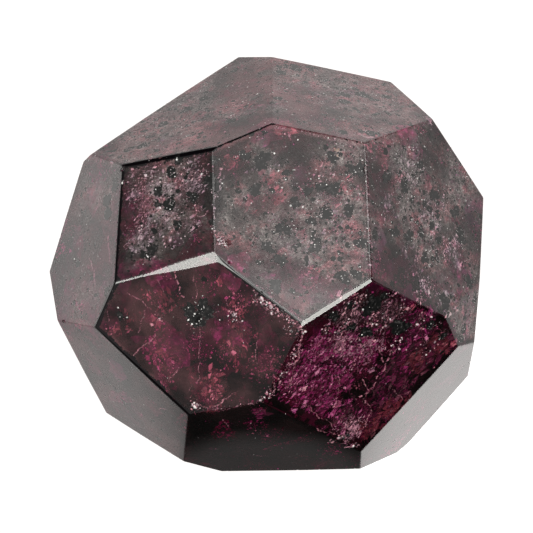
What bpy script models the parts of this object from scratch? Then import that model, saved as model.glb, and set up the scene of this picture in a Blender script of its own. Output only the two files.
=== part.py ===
"""A polished garnet crystal, about 40 mm across, lying on one of its flat faces.

The stone is one solid piece. It is made the way a lapidary makes it: flat faces are ground, one
after another, on a rough block. Each face is set by the direction it looks in and by how far it
lies from the stone's heart, and the edges between the faces are then eased by the polishing.

Metres, +Z up. +X is the stone's right and -Y its front. The origin is the middle of the base
of its bounding box, on the surface that it rests on.
"""

import math

import bmesh
import bpy
from mathutils import Matrix, Vector

MM = 0.001

ROUGH_SIDE = 60 * MM  # the rough block, larger than the finished stone all round
EDGE_EASE = 0.16 * MM  # how far the polish runs in from an ordinary edge, on each side of it
EDGE_STEPS = 2  # flats across one eased edge
BASE_DISTANCE = 16.0  # heart to the face that the stone rests on, in mm

# Every ground face: azimuth (from +X towards +Y) and elevation of its outward direction, in
# degrees, and its distance from the stone's heart, in mm.
CROWN_FACES = {
    "table": (-40.2, 87.2, 16.29),
    "crown_left": (-174.2, 66.9, 16.99),
    "crown_front_left": (-123.5, 57.5, 16.98),
    "crown_front_right": (-55.9, 33.9, 17.3),
    "crown_right": (0.4, 42.8, 17.51),
    "crown_right_corner": (-17.1, 27.6, 19.5),
    "crown_back_right": (76.1, 40.4, 16.99),
    "crown_back_left": (113.4, 38.9, 16.18),
    "crown_far_left": (179.6, 36.5, 18.31),
}
GIRDLE_FACES = {
    "girdle_front_left": (-131.8, 11.1, 18.48),
    "girdle_front": (-90.1, 11.6, 18.12),
    "girdle_front_right": (-47.2, 8.3, 19.24),
    "girdle_right": (-3.8, -2.1, 19.5),
    "girdle_back_right": (37.1, 3.0, 19.28),
    "girdle_back": (78.2, 4.2, 18.65),
    "girdle_back_left": (128.1, 7.1, 17.08),
    "girdle_left": (-166.5, -15.2, 18.17),
}
LOWER_FACES = {
    "lower_front_left": (-115.1, -27.1, 18.34),
    "lower_front": (-88.2, -30.9, 17.82),
    "lower_front_right": (-25.1, -40.6, 18.4),
    "lower_back_left": (151.3, -21.6, 14.04),
    "lower_far_left": (174.0, -32.0, 15.8),
    "foot_back_left": (112.0, -36.0, 17.6),
    "foot_back_right": (58.0, -40.0, 17.6),
    "foot_right": (8.0, -44.0, 17.6),
    "foot_front_right": (-57.8, -53.8, 17.26),
    "foot_front_left": (-122.0, -54.0, 17.0),
    "foot_left": (-172.0, -46.0, 17.2),
    "foot_far_left": (146.0, -48.0, 14.0),
    "base": (0.0, -90.0, BASE_DISTANCE),
}
# Narrow flats, under 1 mm wide, where a polishing stroke ran along an edge. The middle one and the
# left one taper away to nothing.
EDGE_FLATS = {
    "edge_flat_left": (-144.1, 64.9, 17.32),
    "edge_flat_middle": (-122.4, 73.7, 17.29),
    "edge_flat_right": (-55.6, 60.6, 18.69),
}


def clear_scene():
    for obj in list(bpy.data.objects):
        bpy.data.objects.remove(obj)


def direction(azimuth, elevation):
    """Unit vector that looks towards this azimuth and elevation, in degrees."""
    a, e = math.radians(azimuth), math.radians(elevation)
    return Vector((math.cos(e) * math.cos(a), math.cos(e) * math.sin(a), math.sin(e)))


def grind_face(bm, azimuth, elevation, distance_mm):
    """Cuts off everything beyond one plane, closes the cut with a flat face, returns its edges."""
    outward = direction(azimuth, elevation)
    cut = bmesh.ops.bisect_plane(
        bm,
        geom=bm.verts[:] + bm.edges[:] + bm.faces[:],
        dist=1e-7,
        plane_co=outward * distance_mm * MM,
        plane_no=outward,
        clear_outer=True,
    )
    rim = [item for item in cut["geom_cut"] if isinstance(item, bmesh.types.BMEdge)]
    bmesh.ops.contextual_create(bm, geom=rim)
    return rim


def grind_stone():
    """The whole stone with sharp edges, its heart at the origin.

    Every edge is marked to be eased later, except the ones along the narrow edge flats.
    """
    bm = bmesh.new()
    bmesh.ops.create_cube(bm, size=ROUGH_SIDE)
    for face in (*CROWN_FACES.values(), *GIRDLE_FACES.values(), *LOWER_FACES.values()):
        grind_face(bm, *face)
    ease_weight = bm.edges.layers.float.new("bevel_weight_edge")
    for edge in bm.edges:
        edge[ease_weight] = 1.0
    for flat in EDGE_FLATS.values():
        for edge in grind_face(bm, *flat):
            edge[ease_weight] = 0.0
    bmesh.ops.recalc_face_normals(bm, faces=bm.faces[:])
    return bm


def stand_on_base(bm):
    """Moves the stone so that the middle of its bounding box's base is the origin."""
    corners = [v.co for v in bm.verts]
    low = Vector(min(c[axis] for c in corners) for axis in range(3))
    high = Vector(max(c[axis] for c in corners) for axis in range(3))
    middle = (low + high) / 2
    shift = -Vector((middle.x, middle.y, low.z))
    bmesh.ops.transform(bm, matrix=Matrix.Translation(shift), verts=bm.verts[:])


def garnet_material():
    """Deep purplish red, glassy and a little see-through."""
    material = bpy.data.materials.new("garnet")
    material.use_nodes = True
    shader = material.node_tree.nodes["Principled BSDF"]
    shader.inputs["Base Color"].default_value = (0.12, 0.03, 0.05, 1.0)
    shader.inputs["Roughness"].default_value = 0.08
    shader.inputs["Metallic"].default_value = 0.0
    shader.inputs["IOR"].default_value = 1.78
    return material


def make_crystal():
    bm = grind_stone()
    stand_on_base(bm)
    mesh = bpy.data.meshes.new("garnet_crystal")
    bm.to_mesh(mesh)
    bm.free()
    mesh.materials.append(garnet_material())
    crystal = bpy.data.objects.new("garnet_crystal", mesh)
    bpy.context.scene.collection.objects.link(crystal)
    ease = crystal.modifiers.new("eased_edges", "BEVEL")
    ease.width = EDGE_EASE
    ease.segments = EDGE_STEPS
    ease.limit_method = "WEIGHT"
    return crystal


clear_scene()
make_crystal()
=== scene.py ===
"""The looks of the polished garnet crystal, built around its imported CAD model.

The stone is one see-through solid: glass with garnet's index and a strong purplish red absorption.
Its outline comes from the CAD node's own flat faces, with slightly crowned faces, worn edges and
small chips added. What colours it is sealed inside, as in the real stone: black mineral grains,
pale flakes, clouds of fine dust, healed cracks and hairlines. Light falls on it from two long soft
boxes and from the bright table that it lies on.

Lengths inside the script are in mm from the stone's heart, until a mesh is written in metres.
"""
import math

import bmesh
import bpy
import numpy as np
from mathutils import Matrix, Vector
from mathutils.geometry import delaunay_2d_cdt


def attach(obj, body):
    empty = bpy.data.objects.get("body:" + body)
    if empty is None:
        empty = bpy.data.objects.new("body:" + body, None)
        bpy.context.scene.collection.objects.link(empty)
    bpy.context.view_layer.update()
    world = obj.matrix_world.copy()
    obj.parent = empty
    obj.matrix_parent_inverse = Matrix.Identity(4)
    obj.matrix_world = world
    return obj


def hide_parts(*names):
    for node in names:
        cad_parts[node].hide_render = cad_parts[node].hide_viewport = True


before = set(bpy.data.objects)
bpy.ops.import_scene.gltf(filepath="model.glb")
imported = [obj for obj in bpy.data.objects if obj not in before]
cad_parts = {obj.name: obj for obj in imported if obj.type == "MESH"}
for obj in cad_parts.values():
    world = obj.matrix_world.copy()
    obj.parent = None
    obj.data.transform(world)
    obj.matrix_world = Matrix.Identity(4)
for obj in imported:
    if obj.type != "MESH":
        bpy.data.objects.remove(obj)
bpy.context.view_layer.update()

MM = 0.001
NODE = "garnet_crystal"
HEART = np.array([-0.037, -0.424, 16.0])  # the point that the faces are measured from, row frame
GARNET_IOR = 1.78
# Each kind of inclusion, and the chips, draws from a random stream of its own.
SEEDS = {
    "grains": 101,
    "sparkles": 102,
    "clouds": 103,
    "crumbs": 104,
    "hairlines": 105,
    "healed_cracks": 106,
    "chips": 107,
    "fractures": 108,
    "broken_zones": 109,
    "seams": 110,
    "specks": 111,
}

# --- camera -------------------------------------------------------------------------------------
PHOTO_SIZE = 533  # pixels, both ways
HEART_PIXEL = (266.5, 263.5)  # where the heart shows in the photograph
PIXELS_PER_MM = 10.775  # at the heart
CAMERA_ELEVATION = math.radians(74.0)
CAMERA_DISTANCE = 400.0  # mm
FOCAL_PIXELS = PIXELS_PER_MM * CAMERA_DISTANCE
SENSOR = 36.0  # mm

VIEW_RIGHT = np.array([1.0, 0.0, 0.0])
VIEW_UP = np.array([0.0, math.sin(CAMERA_ELEVATION), math.cos(CAMERA_ELEVATION)])
VIEW_BACK = np.array([0.0, -math.cos(CAMERA_ELEVATION), math.sin(CAMERA_ELEVATION)])


def metres(points):
    """Points in mm from the heart, as metres in the row frame."""
    return (np.asarray(points) + HEART) * MM


def eye_point():
    """Where the camera stands."""
    middle = PHOTO_SIZE / 2
    right = (middle - HEART_PIXEL[0]) / PIXELS_PER_MM
    down = (middle - HEART_PIXEL[1]) / PIXELS_PER_MM
    return VIEW_RIGHT * right - VIEW_UP * down + VIEW_BACK * CAMERA_DISTANCE


def add_object(name, data):
    made = bpy.data.objects.new(name, data)
    bpy.context.scene.collection.objects.link(made)
    return made


def stand(right, up, back, place):
    """The matrix that turns an object to these axes and moves it to this place."""
    turn = Matrix([right, up, back]).transposed().to_4x4()
    turn.translation = Vector(metres(place))
    return turn


def add_camera():
    data = bpy.data.cameras.new("camera")
    data.sensor_width = SENSOR
    data.lens = FOCAL_PIXELS * SENSOR / PHOTO_SIZE
    data.clip_start = 0.01
    data.clip_end = 20.0
    camera = add_object("camera", data)
    camera.matrix_world = stand(VIEW_RIGHT, VIEW_UP, VIEW_BACK, eye_point())
    bpy.context.scene.camera = camera


# --- light and floor ----------------------------------------------------------------------------
LIGHT_DISTANCE = 800.0  # mm from the heart
WHITE = 1.1  # radiance of everything that the camera sees behind the stone
ROOM_GLOW = 0.24  # radiance of the dim room
WARM = (1.0, 0.968, 0.952, 1.0)  # colour of the room and the table
SOFT_BOX_COLOUR = (0.97, 0.99, 0.93)
# Soft boxes: where the middle is, in degrees to the right of the camera and above it, the angles
# that the box covers, and its radiance.
SOFT_BOXES = {
    "left_strip": (-36.0, 2.5, 37.0, 19.0, 4.1),
    "right_box": (34.0, -19.0, 24.0, 20.0, 5.4),
}
# Light that the soft boxes throw on the ceiling: the middle of the patch in the same degrees, the
# angles at which it is full and gone, and its radiance.
CEILING_GLOWS = {
    "over_camera": (4.0, 12.0, 9.0, 17.0, 2.6),
    "above_camera": (5.0, 22.0, 5.0, 17.0, 0.75),
    "by_left_strip": (-45.0, 4.0, 8.0, 19.0, 1.2),
    "left_of_table_face": (-21.0, 27.4, 4.0, 14.0, 1.5),
    "right_of_table_face": (50.0, 28.3, 10.0, 26.0, 2.1),
}
# Where the room is darker than elsewhere, in the same terms.
DARK_CORNERS = {
    "behind": (-12.0, 78.0, 26.0, 42.0, -0.235),
    "left": (-77.0, 15.0, 16.0, 30.0, -0.2),
}
TABLE_SIDE = 4000.0  # mm
TABLE_GAP = 0.05  # clear of the stone's rest face, so that the two don't flicker
# The table glows, painted light from its own emission, in an oval that ends just in front of the
# stone, in mm in the row frame.
LIT_MIDDLE = (0.0, 130.0)
LIT_RADII = (470.0, 156.0)
LIT_SOFTNESS = 0.05
LIT_GLOW = 0.615  # radiance of the oval
# A faint pool before the stone: x, y, the radii at which it is full and gone, radiance.
FRONT_POOL = (0.0, -20.0, 12.0, 15.5, 0.15)
# Brighter pools within the oval: x, y, the radii at which they are full and gone, extra radiance.
TABLE_POOLS = {
    "left": (-95.0, 22.0, 15.0, 60.0, 0.74),
    "front_left": (-22.0, -16.0, 4.0, 14.0, 0.2),
    "front_right": (26.0, -16.0, 11.0, 25.0, 1.08),
    "back_right": (18.0, 66.0, 6.0, 26.0, 0.2),
    "far_right": (330.0, 95.0, 120.0, 260.0, -0.05),
}


def view_direction(right_degrees, up_degrees):
    """The unit vector that is this many degrees to the right of and above the camera."""
    off_axis = math.radians(math.hypot(right_degrees, up_degrees))
    around = math.atan2(up_degrees, right_degrees)
    sideways = VIEW_RIGHT * math.cos(around) + VIEW_UP * math.sin(around)
    return VIEW_BACK * math.cos(off_axis) + sideways * math.sin(off_axis)


def add_soft_box(name, right, up, width, height, radiance):
    towards = view_direction(right, up)
    data = bpy.data.lights.new(name, "AREA")
    data.shape = "RECTANGLE"
    data.size = 2 * LIGHT_DISTANCE * MM * math.tan(math.radians(width) / 2)
    data.size_y = 2 * LIGHT_DISTANCE * MM * math.tan(math.radians(height) / 2)
    data.energy = radiance * 4 * data.size * data.size_y
    data.color = SOFT_BOX_COLOUR
    back = Vector(towards)
    side = Vector(VIEW_UP).cross(back).normalized()
    box = add_object(name, data)
    box.matrix_world = stand(side, back.cross(side), back, towards * LIGHT_DISTANCE)


class Graph:
    """The nodes of a material or a world, with a call for each kind. Sockets given are linked."""

    def __init__(self, owner):
        owner.use_nodes = True
        self.tree = owner.node_tree
        self.tree.nodes.clear()

    def node(self, kind, inputs=(), **settings):
        made = self.tree.nodes.new(kind)
        for key, value in settings.items():
            setattr(made, key, value)
        for key, value in dict(inputs).items():
            if isinstance(value, bpy.types.NodeSocket):
                self.tree.links.new(value, made.inputs[key])
            else:
                made.inputs[key].default_value = value
        return made

    def place(self):
        """The point that is shaded, in metres in the row frame."""
        return self.node("ShaderNodeTexCoord").outputs["Object"]

    def math(self, operation, first, second=0.0, clamp=False):
        inputs = {0: first, 1: second}
        return self.node("ShaderNodeMath", inputs, operation=operation, use_clamp=clamp).outputs[0]

    def vector(self, operation, *inputs):
        made = self.node("ShaderNodeVectorMath", dict(enumerate(inputs)), operation=operation)
        return made.outputs["Value" if operation in ("DISTANCE", "DOT_PRODUCT") else "Vector"]

    def smooth_step(self, value, low, high, start=0.0, end=1.0):
        inputs = {"Value": value, "From Min": low, "From Max": high, "To Min": start, "To Max": end}
        made = self.node("ShaderNodeMapRange", inputs, interpolation_type="SMOOTHSTEP")
        return made.outputs["Result"]

    def noise(self, place, scale, detail, roughness=0.5, output=0):
        inputs = {"Vector": place, "Scale": scale, "Detail": detail, "Roughness": roughness}
        return self.node("ShaderNodeTexNoise", inputs).outputs[output]

    def cells(self, place, size):
        """Scattered points: how far off the nearest is, in cells, and two random values of its."""
        made = self.node("ShaderNodeTexVoronoi", {"Vector": place, "Scale": 1 / size})
        random = self.node("ShaderNodeSeparateColor", {0: made.outputs["Color"]})
        return made.outputs["Distance"], random.outputs[0], random.outputs[1]

    def mix_colour(self, share, first, second):
        made = self.node("ShaderNodeMix", data_type="RGBA")
        factor = next(s for s in made.inputs if s.name == "Factor" and s.type == "VALUE")
        colours = [s for s in made.inputs if s.type == "RGBA"]
        for socket, value in zip((factor, *colours), (share, first, second)):
            if isinstance(value, bpy.types.NodeSocket):
                self.tree.links.new(value, socket)
            else:
                socket.default_value = value
        return next(s for s in made.outputs if s.type == "RGBA")

    def ramp(self, value, *stops):
        made = self.node("ShaderNodeValToRGB", {"Fac": value})
        elements = made.color_ramp.elements
        while len(elements) < len(stops):
            elements.new(0.5)
        for element, (place, colour) in zip(elements, stops):
            element.position = place
            element.color = (*colour, 1.0)
        return made.outputs["Color"]

    def by_ray(self, kind, others, these):
        """One shader for most rays, another for this kind of ray."""
        share = self.node("ShaderNodeLightPath").outputs[kind]
        inputs = {0: share, 1: others.outputs[0], 2: these.outputs[0]}
        return self.node("ShaderNodeMixShader", inputs).outputs[0]

    def coat(self, inputs):
        """Ends a material in one principled shader."""
        shader = self.node("ShaderNodeBsdfPrincipled", inputs)
        self.node("ShaderNodeOutputMaterial", {"Surface": shader.outputs[0]})


def add_world():
    """A dim room with soft glows on its ceiling. The camera sees it as white as the table."""
    world = bpy.data.worlds.new("room")
    graph = Graph(world)
    towards = graph.node("ShaderNodeTexCoord").outputs["Generated"]
    glow = ROOM_GLOW
    for right, up, full, gone, radiance in (*CEILING_GLOWS.values(), *DARK_CORNERS.values()):
        near = graph.vector("DOT_PRODUCT", towards, tuple(view_direction(right, up)))
        low, high = math.cos(math.radians(gone)), math.cos(math.radians(full))
        glow = graph.math("ADD", graph.smooth_step(near, low, high, 0.0, radiance), glow)
    room = graph.node("ShaderNodeBackground", {"Color": WARM, "Strength": glow})
    seen = graph.node("ShaderNodeBackground", {"Color": (1, 1, 1, 1), "Strength": WHITE})
    graph.node("ShaderNodeOutputWorld", {"Surface": graph.by_ray("Is Camera Ray", room, seen)})
    bpy.context.scene.world = world


def pool_glow(graph, place, x, y, full, gone, radiance):
    """The light of one round pool on the table."""
    off = graph.vector("DISTANCE", place, (x * MM, y * MM, 0.0))
    return graph.smooth_step(off, full * MM, gone * MM, radiance, 0.0)


def add_table():
    """A white table that glows with painted light: only an oval behind and beside the stone, with
    brighter pools in it, gives off light; the camera sees it all white.
    """
    material = bpy.data.materials.new("white_table")
    graph = Graph(material)
    place = graph.place()
    axes = graph.node("ShaderNodeSeparateXYZ", {0: place})
    squares = []
    for axis in range(2):
        offset = graph.math("SUBTRACT", axes.outputs[axis], LIT_MIDDLE[axis] * MM)
        share = graph.math("DIVIDE", offset, LIT_RADII[axis] * MM)
        squares.append(graph.math("MULTIPLY", share, share))
    from_middle = graph.math("SQRT", graph.math("ADD", *squares))
    glow = LIT_GLOW
    for pool in TABLE_POOLS.values():
        glow = graph.math("ADD", pool_glow(graph, place, *pool), glow)
    lit = graph.smooth_step(from_middle, 1 - LIT_SOFTNESS, 1 + LIT_SOFTNESS, 1.0, 0.0)
    lit = graph.math("MULTIPLY", lit, glow)
    lit = graph.math("MAXIMUM", lit, pool_glow(graph, place, *FRONT_POOL))
    by_camera = graph.node("ShaderNodeLightPath").outputs["Is Camera Ray"]
    glow = graph.math("MAXIMUM", lit, graph.math("MULTIPLY", by_camera, WHITE))
    graph.coat({
        "Base Color": (0.02, 0.02, 0.02, 1),
        "Roughness": 1.0,
        "Specular IOR Level": 0.0,
        "Emission Color": WARM,
        "Emission Strength": glow,
    })
    half, z = TABLE_SIDE / 2 * MM, -TABLE_GAP * MM
    mesh = bpy.data.meshes.new("table")
    corners = [(-half, -half, z), (half, -half, z), (half, half, z), (-half, half, z)]
    mesh.from_pydata(corners, [], [(0, 1, 2, 3)])
    mesh.materials.append(material)
    table = add_object("table", mesh)


# --- the stone's outline ------------------------------------------------------------------------
LEAST_FACE_AREA = 6.0  # mm2; the eased edges of the CAD solid are narrower than this
ROUGH_SIDE = 60.0  # mm, of the block that the faces are cut from
SAME_WAY = 0.9999  # two unit normals with a dot product above this are those of one face
# The narrow edge flats, close to those of the CAD model: azimuth, elevation, distance from the
# heart, and how much each one curves along its edge, per mm.
EDGE_FLATS = {
    "left": (-143.83, 65.142, 17.283, 0.0008),
    "middle": (-122.4, 73.7, 17.29, 0.0),
    "right": (-55.6, 60.6, 18.7, 0.0),
}
# Edges worn rounder than the rest: the azimuth and elevation that the worn strip looks in, and
# how deep it is cut, in mm.
WORN_EDGES = {
    "front_left": (-128.6, 34.5, 0.085),
    "front_left_side": (-161.0, 52.0, 0.02),
    "table_corner": (-137.0, 70.0, 0.09),
    "table_left": (-168.6, 79.4, 0.013),
    "table_right": (-2.0, 65.3, 0.03),
    "left_top": (136.0, 57.9, 0.1),
    "left_side": (-178.4, 51.7, 0.024),
    "table_top_left": (111.7, 65.7, 0.022),
    "table_top_right": (72.7, 65.8, 0.018),
}
CROWN_RADIUS = 700.0  # each ground face bulges a little, as hand-polished faces do
RIM_SHARE = 0.7  # how far out, as a share of the corners' distance squared, the bulge ends
EDGE_KEENNESS = 42.0  # per mm; higher leaves the edges sharper
FLAT_KEENNESS = 110.0  # the same for the edges of the narrow flats
RIM_FALL = 0.03  # mm, how far the crowned faces lie below the sharp planes at their rims
WAVINESS = 0.004  # mm, how far the polished faces wander
WAVINESS_LENGTH = 5.0  # mm
CHIP_ROUGHNESS = 0.22  # as a share of a chip's radius
SMALL_CHIPS = (0.13, 0.4, 0.08, 0.32)  # mm: usual radius, how widely it varies, least, most
CHIPS_PER_MM = 0.12  # of edge


def direction(azimuth, elevation):
    a, e = math.radians(azimuth), math.radians(elevation)
    return np.array([math.cos(e) * math.cos(a), math.cos(e) * math.sin(a), math.sin(e)])


def ground_faces(node):
    """Unit normals and distances from the heart of the CAD solid's flat faces."""
    faces = []
    for poly in node.data.polygons:
        normal = np.array(poly.normal)
        distance = float(normal @ (np.array(poly.center) / MM - HEART))
        area = poly.area / MM**2
        for face in faces:
            if normal @ face["normal"] > 0.99999 and abs(distance - face["distance"]) < 0.02:
                face["area"] += area
                break
        else:
            faces.append({"normal": normal, "distance": distance, "area": area})
    kept = [face for face in faces if face["area"] > LEAST_FACE_AREA]
    return np.array([f["normal"] for f in kept]), np.array([f["distance"] for f in kept])


def cut_polygons(normals, distances):
    """The sharp-edged solid inside these planes: one (corners, normal) for each face."""
    bm = bmesh.new()
    bmesh.ops.create_cube(bm, size=ROUGH_SIDE)
    for normal, distance in zip(normals, distances):
        cut = bmesh.ops.bisect_plane(
            bm,
            geom=bm.verts[:] + bm.edges[:] + bm.faces[:],
            dist=1e-5,
            plane_co=Vector(normal * distance),
            plane_no=Vector(normal),
            clear_outer=True,
        )
        rim = [item for item in cut["geom_cut"] if isinstance(item, bmesh.types.BMEdge)]
        bmesh.ops.contextual_create(bm, geom=rim)
    bmesh.ops.recalc_face_normals(bm, faces=bm.faces[:])
    polygons = [(np.array([v.co[:] for v in f.verts]), np.array(f.normal[:])) for f in bm.faces]
    bm.free()
    return polygons


def corners_facing(polygons, normal):
    return next(corners for corners, faces in polygons if faces @ normal > SAME_WAY)


def polygon_area(corners):
    fan = np.cross(corners[1:-1] - corners[0], corners[2:] - corners[0])
    return np.linalg.norm(fan.sum(axis=0)) / 2


def smooth_max(values, keenness):
    top = values.max(axis=1)
    return top + np.log(np.exp(keenness * (values - top[:, None])).sum(axis=1)) / keenness


def ripple(points, wavelength, seed, waves=7):
    """Smooth pseudo-random values, mostly within -1 to 1."""
    rng = np.random.default_rng(seed)
    total = np.zeros(len(points))
    for _ in range(waves):
        way = rng.normal(size=3)
        way /= np.linalg.norm(way)
        length = wavelength * rng.uniform(0.7, 1.5)
        total += np.sin(points @ way * (2 * math.pi / length) + rng.uniform(0, 2 * math.pi))
    return total / math.sqrt(waves)


class Outline:
    """How far outside the finished stone a point is, in mm, less than zero inside."""

    def __init__(self, normals, distances):
        self.normals = normals
        self.distances = distances
        self.polygons = cut_polygons(normals, distances)
        corners = [corners_facing(self.polygons, normal) for normal in normals]
        self.centres = np.array([c.mean(axis=0) for c in corners])
        self.rims = np.array([((c - c.mean(axis=0)) ** 2).sum(axis=1).mean() for c in corners])
        # The face that the stone rests on stays flat.
        self.crowns = np.where(normals[:, 2] < -0.999, 0.0, 1 / (2 * CROWN_RADIUS))
        self.flats = []
        self.chips = []

    def crowned(self, points):
        """Heights above the faces, each face standing a little proud in its middle."""
        height = points @ self.normals.T - self.distances
        off = points[:, None, :] - self.centres[None, :, :]
        across = np.maximum((off**2).sum(axis=2) - height**2, 0.0)
        return height + (across - RIM_SHARE * self.rims) * self.crowns

    def add_edge_flat(self, azimuth, elevation, distance, curve=0.0):
        """Grinds a narrow flat, let down by as much as the crowned faces fall away at it."""
        normal = direction(azimuth, elevation)
        heights = self.normals @ normal
        sharp = cut_polygons(
            np.vstack([self.normals, normal]), np.append(self.distances, distance)
        )
        middle = corners_facing(sharp, normal).mean(axis=0)[None, :]
        fall = self.crowned(middle).max() - (middle @ self.normals.T - self.distances).max()
        fall /= max(heights)
        self.flats.append((normal, distance - fall, middle[0], curve))
        self.cut = cut_polygons(
            np.vstack([self.normals] + [flat[0] for flat in self.flats]),
            np.append(self.distances - RIM_FALL, [flat[1] for flat in self.flats]),
        )

    def add_worn_edge(self, azimuth, elevation, depth):
        """Grinds a narrow strip along the edge that is farthest out in this direction."""
        normal = direction(azimuth, elevation)
        corners = np.vstack([corners for corners, _ in self.polygons])
        reach = (corners @ normal).max()
        self.add_edge_flat(azimuth, elevation, reach - depth)

    def polished(self, points):
        body = smooth_max(self.crowned(points), EDGE_KEENNESS)
        flats = []
        for normal, distance, middle, curve in self.flats:
            away = ((points - middle) ** 2).sum(axis=1)
            flats.append(points @ normal - distance - curve * away)
        return smooth_max(np.stack([body, *flats], axis=1), FLAT_KEENNESS)

    def outside(self, points):
        value = self.polished(points) + (ripple(points, WAVINESS_LENGTH, seed=3) + 2) * WAVINESS
        for centre, radius in self.chips:
            near = ((points - centre) ** 2).sum(axis=1) < (radius * 2) ** 2
            if near.any():
                rough = 1 + CHIP_ROUGHNESS * ripple(points[near], radius * 0.9, seed=11)
                bite = radius * rough - np.linalg.norm(points[near] - centre, axis=1)
                value[near] = np.maximum(value[near], bite)
        return value

    def project(self, points, far=1.03, near=0.86, steps=22):
        """Moves points straight in or out from the heart onto the outline."""
        low = points * near
        high = points * far
        for _ in range(steps):
            middle = (low + high) / 2
            out = self.outside(middle) > 0
            high[out] = middle[out]
            low[~out] = middle[~out]
        return (low + high) / 2

    def slopes(self, points, step=0.02):
        """Outward unit normals of the outline at points on it."""
        gradient = np.empty_like(points)
        for axis in range(3):
            nudge = np.zeros(3)
            nudge[axis] = step
            gradient[:, axis] = self.outside(points + nudge) - self.outside(points - nudge)
        return gradient / np.linalg.norm(gradient, axis=1)[:, None]


# --- the stone's mesh ---------------------------------------------------------------------------
# Point spacing in bands from a face's rim inwards: (band starts, spacing).
SPACING_BANDS = ((0.0, 0.06), (0.16, 0.1), (0.4, 0.22), (0.9, 0.5), (1.8, 0.9))
HIDDEN_COARSER = 1.7  # times as coarse on faces that look down
LOWER_HALF = -4.0  # faces and edges whose middle is lower than this are hidden ones
ROW_STEP = 0.866  # between rows of points, as a share of the spacing in a row
WELD = 1e-4  # mm; points of neighbouring faces nearer than this become one


def rim_points(start, end, spacing):
    """Evenly spaced points on an edge, the same from either end."""
    if tuple(start) > tuple(end):
        return rim_points(end, start, spacing)[::-1]
    count = max(1, round(np.linalg.norm(end - start) / spacing))
    steps = np.linspace(0.0, 1.0, count + 1)[:, None]
    return start + (end - start) * steps


def edge_spacing(start, end):
    """Finer on the edges of the upper half."""
    low = (start[2] + end[2]) / 2 < LOWER_HALF
    return SPACING_BANDS[0][1] * (HIDDEN_COARSER if low else 1.0)


def mesh_polygon(corners, normal):
    """Triangles over one face, fine along its rim and coarse in its middle."""
    across = corners[1] - corners[0]
    across /= np.linalg.norm(across)
    along = np.cross(normal, across)
    origin = corners[0]
    rim = [
        rim_points(a, b, edge_spacing(a, b))[:-1]
        for a, b in zip(corners, np.roll(corners, -1, axis=0))
    ]
    rim = np.vstack(rim)
    flat_rim = np.stack([(rim - origin) @ across, (rim - origin) @ along], axis=1)
    flat = np.stack([(corners - origin) @ across, (corners - origin) @ along], axis=1)
    sides = np.roll(flat, -1, axis=0) - flat
    inward = np.stack([-sides[:, 1], sides[:, 0]], axis=1)
    inward /= np.linalg.norm(inward, axis=1)[:, None]
    coarser = HIDDEN_COARSER if corners[:, 2].mean() < LOWER_HALF else 1.0
    inner = []
    limits = [start for start, _ in SPACING_BANDS[1:]] + [math.inf]
    for (start, spacing), limit in zip(SPACING_BANDS, limits):
        spacing *= coarser
        low, high = flat.min(axis=0), flat.max(axis=0)
        xs = np.arange(low[0], high[0], spacing)
        ys = np.arange(low[1], high[1], spacing * ROW_STEP)
        grid_x, grid_y = np.meshgrid(xs, ys)
        grid_x[1::2] += spacing / 2
        grid = np.stack([grid_x.ravel(), grid_y.ravel()], axis=1)
        depth = ((grid[:, None, :] - flat[None]) * inward[None]).sum(axis=2).min(axis=1)
        least = max(start, 0.6 * spacing)
        inner.append(grid[(depth >= least) & (depth < limit)])
    points = np.vstack([flat_rim, *inner])
    count = len(flat_rim)
    loop = [(i, (i + 1) % count) for i in range(count)]
    made = delaunay_2d_cdt([Vector(p) for p in points], loop, [], 1, 1e-7)
    placed = np.array([v[:] for v in made[0]])
    return origin + placed[:, :1] * across + placed[:, 1:] * along, [tuple(f) for f in made[2]]


def stone_mesh(outline):
    bm = bmesh.new()
    for corners, normal in outline.cut:
        points, triangles = mesh_polygon(corners, normal)
        verts = [bm.verts.new(p) for p in points]
        for triangle in triangles:
            bm.faces.new([verts[i] for i in triangle])
    bmesh.ops.remove_doubles(bm, verts=bm.verts[:], dist=WELD)
    bmesh.ops.recalc_face_normals(bm, faces=bm.faces[:])
    mesh = bpy.data.meshes.new("garnet_stone")
    bm.to_mesh(mesh)
    bm.free()
    flat = np.empty(len(mesh.vertices) * 3)
    mesh.vertices.foreach_get("co", flat)
    points = outline.project(flat.reshape(-1, 3))
    normals = outline.slopes(points)
    mesh.vertices.foreach_set("co", metres(points).ravel())
    mesh.shade_smooth()
    mesh.normals_split_custom_set_from_vertices(normals.tolist())
    return mesh


# --- places inside the stone --------------------------------------------------------------------
THINNEST, THICKEST = 0.08, 2.2  # limits of the crowding
CLEAR_REACH = 2.5  # mm under a clear face where there are fewer grains


def through_pixel(outline, pixel, depth):
    """The point this deep along the bent line of sight of a photo pixel, and the face's normal."""
    eye = eye_point()
    right = (pixel[0] - PHOTO_SIZE / 2) / FOCAL_PIXELS
    up = (PHOTO_SIZE / 2 - pixel[1]) / FOCAL_PIXELS
    ray = VIEW_RIGHT * right + VIEW_UP * up - VIEW_BACK
    ray /= np.linalg.norm(ray)
    facing = outline.normals @ ray
    reach = (outline.distances - outline.normals @ eye) / facing
    entry = np.where(facing < 0, reach, -np.inf).argmax()
    normal = outline.normals[entry]
    bend = 1 / GARNET_IOR
    cosine = -normal @ ray
    inner = bend * ray + (bend * cosine - math.sqrt(1 - bend**2 * (1 - cosine**2))) * normal
    return eye + ray * reach[entry] + inner * depth, normal


def traced(outline, pixels, depth):
    """The points this deep under some photo pixels, and the normals of the faces over them."""
    points, normals = zip(*[through_pixel(outline, pixel, depth) for pixel in pixels])
    return np.array(points), np.array(normals)


def every(table):
    """The rows of a table that is grouped by face."""
    return [row for rows in table.values() for row in rows]


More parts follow.
